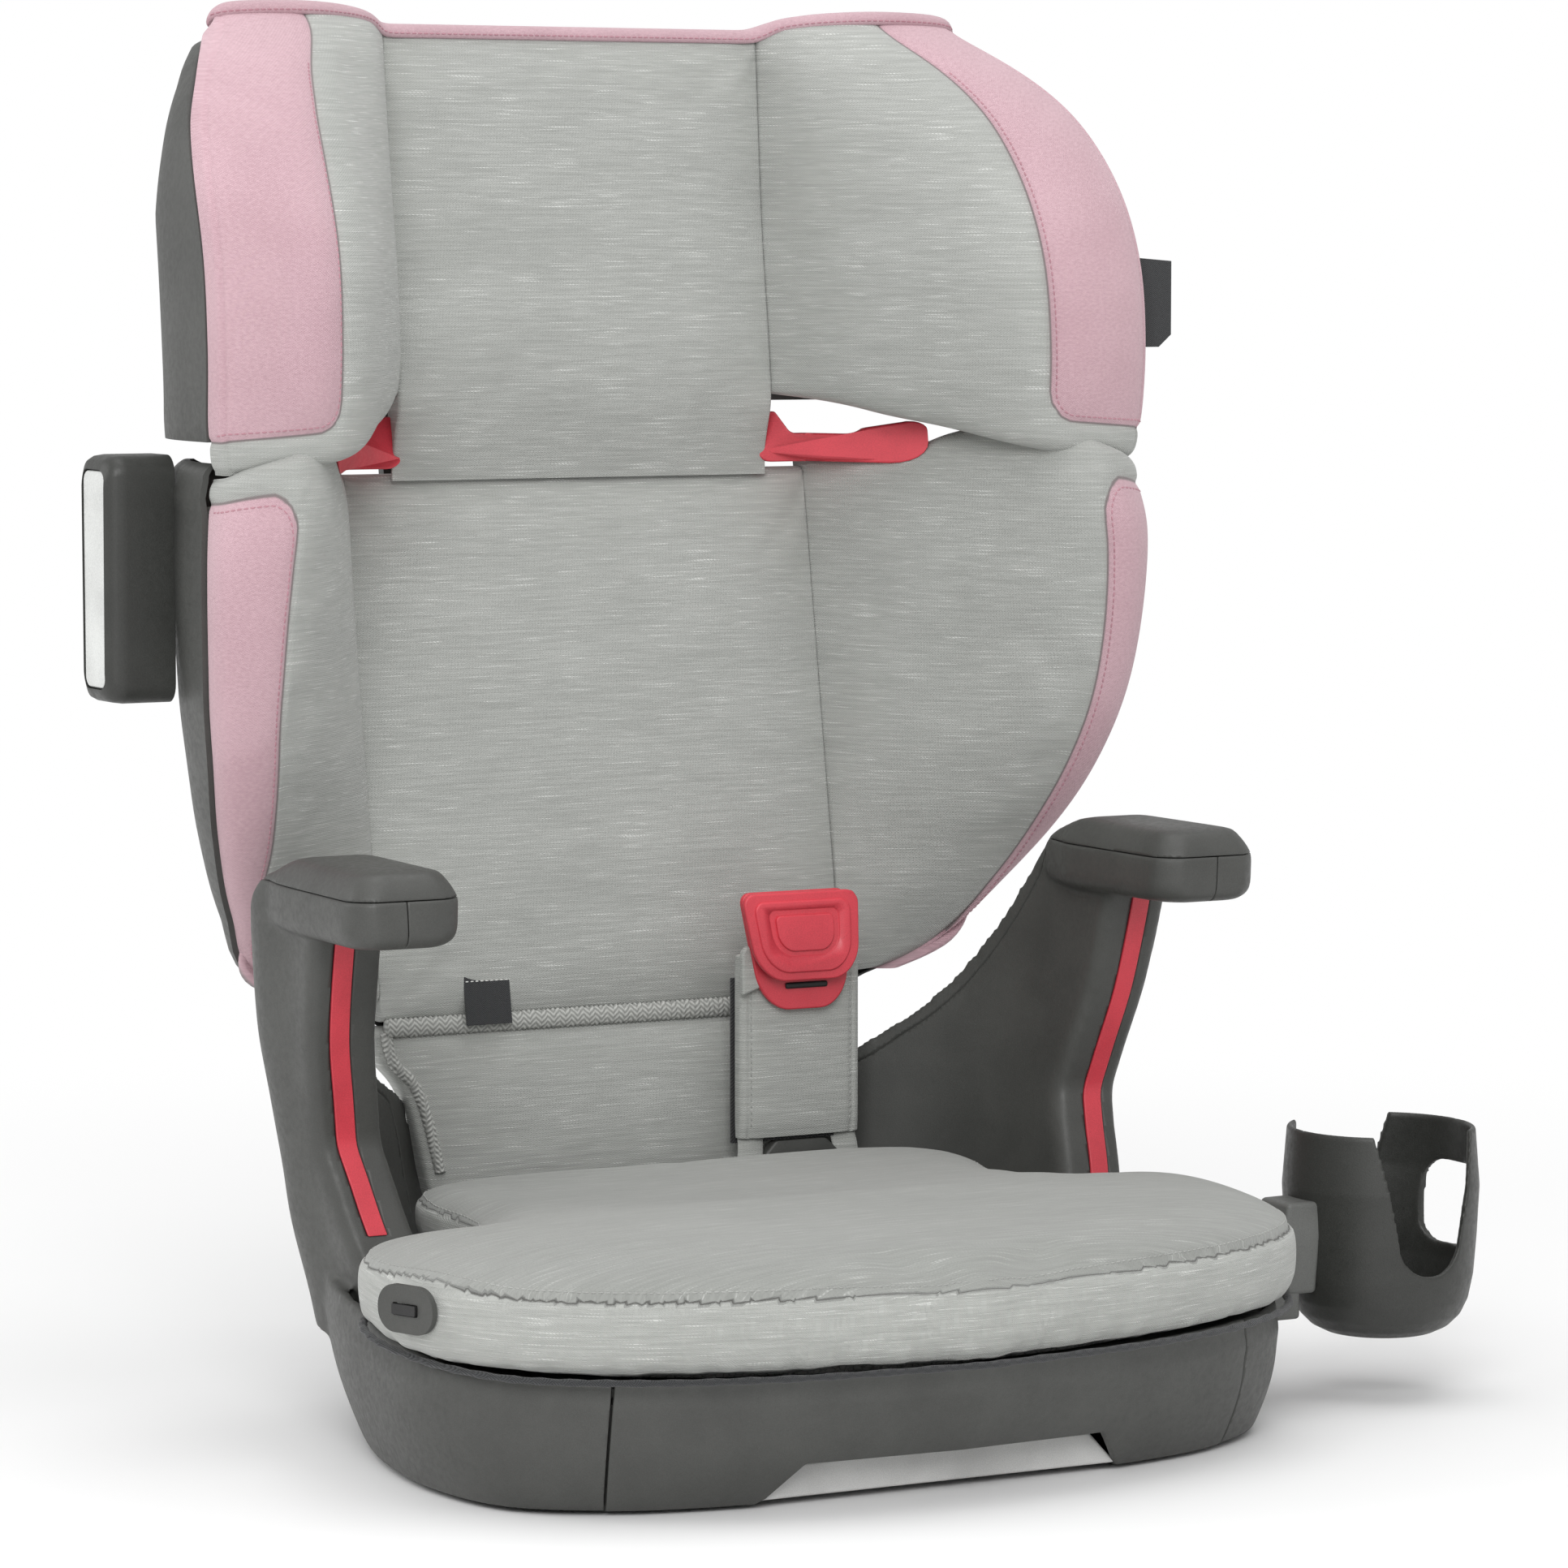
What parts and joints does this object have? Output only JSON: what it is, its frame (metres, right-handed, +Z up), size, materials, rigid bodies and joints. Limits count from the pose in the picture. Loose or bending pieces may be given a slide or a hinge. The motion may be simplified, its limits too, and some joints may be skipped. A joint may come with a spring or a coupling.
{
  "type": "high-back booster seat",
  "caption": "High-back child booster seat: padded seat on a moulded base with armrests, reclining winged back, sliding winged headrest, belt clip and cup holder.",
  "frame": {"origin": "centre of the base's footprint, on the flat underside that rests on the car seat", "axes": "+X to the sitter's left when seen from in front, -Y towards the front of the seat, +Z up"},
  "size_m": [0.6191, 0.4719, 0.656],
  "materials": {
    "charcoal_plastic": "fine moulded grain",
    "black_plastic": "satin",
    "red_plastic": "satin",
    "pale_plastic": "satin",
    "steel": "zinc plated",
    "rubber": "matte",
    "foam": "expanded polypropylene foam",
    "grey_fabric": "slub twill with pale streaks",
    "pink_fabric": "fine twill",
    "black_fabric": "woven webbing and tape"
  },
  "bodies": {
    "base": {"base_pan": "charcoal_plastic", "base_front_panel": "charcoal_plastic", "seat_deck": "charcoal_plastic", "foot_front_left": "rubber", "foot_rear_left": "rubber", "foot_front_right": "rubber", "foot_rear_right": "rubber", "arm_outer_left": "charcoal_plastic", "arm_inner_left": "charcoal_plastic", "arm_cap_left": "charcoal_plastic", "belt_guide_strip_left": "red_plastic", "arm_outer_right": "charcoal_plastic", "arm_inner_right": "charcoal_plastic", "arm_cap_right": "charcoal_plastic", "belt_guide_strip_right": "red_plastic", "seat_foam": "foam", "seat_cover": "grey_fabric", "adjuster_bezel": "charcoal_plastic", "cup_socket": "charcoal_plastic", "recline_bracket_left": "steel", "recline_bracket_right": "steel", "recline_rod": "steel", "strap_anchor": "steel"},
    "front_handle": {"front_pull_handle": "pale_plastic"},
    "adjuster": {"adjuster_button": "black_plastic"},
    "belt_strap": {"strap_stalk": "charcoal_plastic", "strap_webbing": "black_fabric", "strap_sleeve": "grey_fabric", "belt_clip": "red_plastic"},
    "cup_holder": {"cup_holder_cup": "charcoal_plastic", "cup_holder_bracket": "charcoal_plastic"},
    "latch_left": {"latch_connector_left": "steel"},
    "latch_right": {"latch_connector_right": "steel"},
    "latch_release_left": {"latch_button_left": "red_plastic"},
    "latch_release_right": {"latch_button_right": "red_plastic"},
    "recline": {"recline_frame": "steel"},
    "backrest": {"back_shell": "charcoal_plastic", "back_center_pad": "grey_fabric", "lower_back_pad": "grey_fabric", "height_rack": "black_plastic", "back_foam_left": "foam", "back_foam_right": "foam", "back_wing_pad_left": "grey_fabric", "back_wing_pad_right": "grey_fabric", "back_tag": "black_fabric"},
    "side_pod": {"pod_housing": "charcoal_plastic", "pod_plate": "pale_plastic"},
    "headrest": {"headrest_shell": "charcoal_plastic", "headrest_center_pad": "grey_fabric", "headrest_foam_left": "foam", "headrest_foam_right": "foam", "headrest_wing_pad_left": "pink_fabric", "headrest_wing_pad_right": "pink_fabric", "shoulder_guide_left": "red_plastic", "shoulder_guide_right": "red_plastic", "headrest_carriage": "steel", "headrest_side_tag": "black_fabric"},
    "headrest_release": {"headrest_release_handle": "charcoal_plastic"},
    "headrest_lock": {"headrest_lock_bolt": "steel"}
  },
  "joints": [
    {"name": "front_handle_pull", "type": "slide", "parent": "base", "child": "front_handle", "axis": [0, -1, 0], "range_m": [0, 0.012]},
    {"name": "adjuster_press", "type": "slide", "parent": "base", "child": "adjuster", "axis": [0.932, 0.3624, 0], "range_m": [0, 0.002]},
    {"name": "belt_strap_swing", "type": "hinge", "parent": "base", "child": "belt_strap", "pos_m": [0.082, 0.084, 0.088], "axis": [1, 0, 0], "range_deg": [-8, 22]},
    {"name": "cup_holder_pull_off", "type": "slide", "parent": "base", "child": "cup_holder", "axis": [1, 0, 0], "range_m": [0, 0.03]},
    {"name": "latch_left_extend", "type": "slide", "parent": "base", "child": "latch_left", "axis": [0, 1, 0], "range_m": [0, 0.08]},
    {"name": "latch_right_extend", "type": "slide", "parent": "base", "child": "latch_right", "axis": [0, 1, 0], "range_m": [0, 0.08]},
    {"name": "latch_left_button_press", "type": "slide", "parent": "latch_left", "child": "latch_release_left", "axis": [0, 0, -1], "range_m": [0, 0.003]},
    {"name": "latch_right_button_press", "type": "slide", "parent": "latch_right", "child": "latch_release_right", "axis": [0, 0, -1], "range_m": [0, 0.003]},
    {"name": "back_recline", "type": "hinge", "parent": "base", "child": "recline", "pos_m": [0, 0.122, 0.084], "axis": [-1, 0, 0], "range_deg": [-2, 16]},
    {"name": "backrest_lift_off", "type": "slide", "parent": "recline", "child": "backrest", "axis": [0, 0.1616, 0.9869], "range_m": [0, 0.08]},
    {"name": "side_pod_pull_off", "type": "slide", "parent": "backrest", "child": "side_pod", "axis": [-1, 0, 0], "range_m": [0, 0.05]},
    {"name": "headrest_height", "type": "slide", "parent": "backrest", "child": "headrest", "axis": [0, 0.1616, 0.9869], "range_m": [0, 0.162]},
    {"name": "headrest_release_pull", "type": "slide", "parent": "headrest", "child": "headrest_release", "axis": [0, 0.1616, 0.9869], "range_m": [0, 0.01]},
    {"name": "headrest_lock_withdraw", "type": "slide", "parent": "headrest", "child": "headrest_lock", "axis": [0, -0.9869, 0.1616], "range_m": [0, 0.005]}
  ],
  "couplings": [
    {"joint": "headrest_lock_withdraw", "follows": "headrest_release_pull", "ratio": 0.5}
  ]
}
